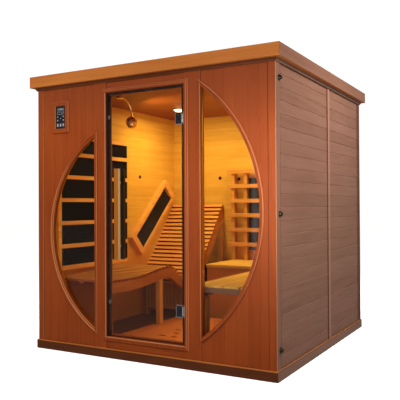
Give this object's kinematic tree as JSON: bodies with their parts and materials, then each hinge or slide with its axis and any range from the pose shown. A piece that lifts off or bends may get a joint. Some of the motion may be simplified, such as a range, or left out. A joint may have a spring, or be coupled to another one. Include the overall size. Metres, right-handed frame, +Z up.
{
  "type": "infrared sauna cabin",
  "caption": "Square wooden infrared sauna cabin with a hinged glass door between curved windows, slatted lounger, benches, heaters and a push-key control panel.",
  "frame": {"origin": "on the floor under the middle of the cabin", "axes": "+Z up, -Y out of the door, +X to the right of someone who faces the door"},
  "size_m": [1.88, 1.86, 1.9],
  "materials": {
    "redwood": "red-brown satin stain",
    "fascia_wood": "orange-brown satin stain",
    "side_boards": "matt brown stain",
    "pale_wood": "bare pale wood",
    "clear_glass": "clear tempered glass",
    "chrome": "polished",
    "bronze": "polished bronze",
    "carbon": "black heating panel",
    "black_gloss": "gloss black",
    "key_grey": "light grey",
    "grey_steel": "grey powder coat",
    "lamp_lens": "frosted white"
  },
  "bodies": {
    "cabin": {"back_bench_riser": "redwood", "back_bench_seat": "pale_wood", "back_heater": "carbon", "back_wall": "side_boards", "backrest": "pale_wood", "base_panel": "redwood", "calf_heater": "pale_wood", "ceiling_light": "lamp_lens", "ceiling_panel": "pale_wood", "control_bezel": "redwood", "control_panel": "black_gloss", "corner_trim_left": "redwood", "corner_trim_right": "redwood", "door_head": "redwood", "door_jamb_left": "redwood", "door_jamb_right": "redwood", "door_sill": "redwood", "floor_deck": "pale_wood", "floor_heater": "carbon", "front_left_panel": "redwood", "front_right_panel": "redwood", "hinge_bracket_bottom": "chrome", "hinge_bracket_top": "chrome", "lamp_globe": "bronze", "lamp_stem": "bronze", "left_heater_guard": "pale_wood", "left_heater_panel": "carbon", "left_wall_front": "side_boards", "left_wall_rear": "side_boards", "left_window_glass": "clear_glass", "left_window_trim": "redwood", "lounger_leg_middle": "pale_wood", "lounger_leg_rear": "pale_wood", "lounger_rail_left": "pale_wood", "lounger_rail_right": "pale_wood", "lounger_slats": "pale_wood", "power_box": "grey_steel", "right_bench_leg": "pale_wood", "right_bench_seat": "pale_wood", "right_wall_front": "side_boards", "right_wall_rear": "side_boards", "right_window_glass": "clear_glass", "right_window_trim": "redwood", "roof_cap": "fascia_wood", "side_heater_element": "carbon", "side_heater_frame": "pale_wood"},
    "door": {"door_glass": "clear_glass", "hinge_clamp_top": "chrome", "hinge_clamp_bottom": "chrome", "handle_outer": "redwood", "handle_inner": "redwood", "catch_top": "chrome", "catch_bottom": "chrome"},
    "key_heat_body": {"key_heat": "key_grey"},
    "key_light_body": {"key_light": "key_grey"},
    "key_power_body": {"key_power": "key_grey"},
    "key_temperature_down_body": {"key_temperature_down": "key_grey"},
    "key_temperature_up_body": {"key_temperature_up": "key_grey"},
    "key_time_down_body": {"key_time_down": "key_grey"},
    "key_time_up_body": {"key_time_up": "key_grey"}
  },
  "joints": [
    {"name": "door_swing", "type": "hinge", "parent": "cabin", "child": "door", "pos_m": [0.284, -0.868, 0.9375], "axis": [0, 0, 1], "range_deg": [0, 95]},
    {"name": "key_heat_press", "type": "slide", "parent": "cabin", "child": "key_heat_body", "axis": [0, 1, 0], "range_m": [0, 0.001], "stiffness_N_per_m": 600},
    {"name": "key_light_press", "type": "slide", "parent": "cabin", "child": "key_light_body", "axis": [0, 1, 0], "range_m": [0, 0.001], "stiffness_N_per_m": 600},
    {"name": "key_power_press", "type": "slide", "parent": "cabin", "child": "key_power_body", "axis": [0, 1, 0], "range_m": [0, 0.001], "stiffness_N_per_m": 600},
    {"name": "key_temperature_down_press", "type": "slide", "parent": "cabin", "child": "key_temperature_down_body", "axis": [0, 1, 0], "range_m": [0, 0.001], "stiffness_N_per_m": 600},
    {"name": "key_temperature_up_press", "type": "slide", "parent": "cabin", "child": "key_temperature_up_body", "axis": [0, 1, 0], "range_m": [0, 0.001], "stiffness_N_per_m": 600},
    {"name": "key_time_down_press", "type": "slide", "parent": "cabin", "child": "key_time_down_body", "axis": [0, 1, 0], "range_m": [0, 0.001], "stiffness_N_per_m": 600},
    {"name": "key_time_up_press", "type": "slide", "parent": "cabin", "child": "key_time_up_body", "axis": [0, 1, 0], "range_m": [0, 0.001], "stiffness_N_per_m": 600}
  ]
}
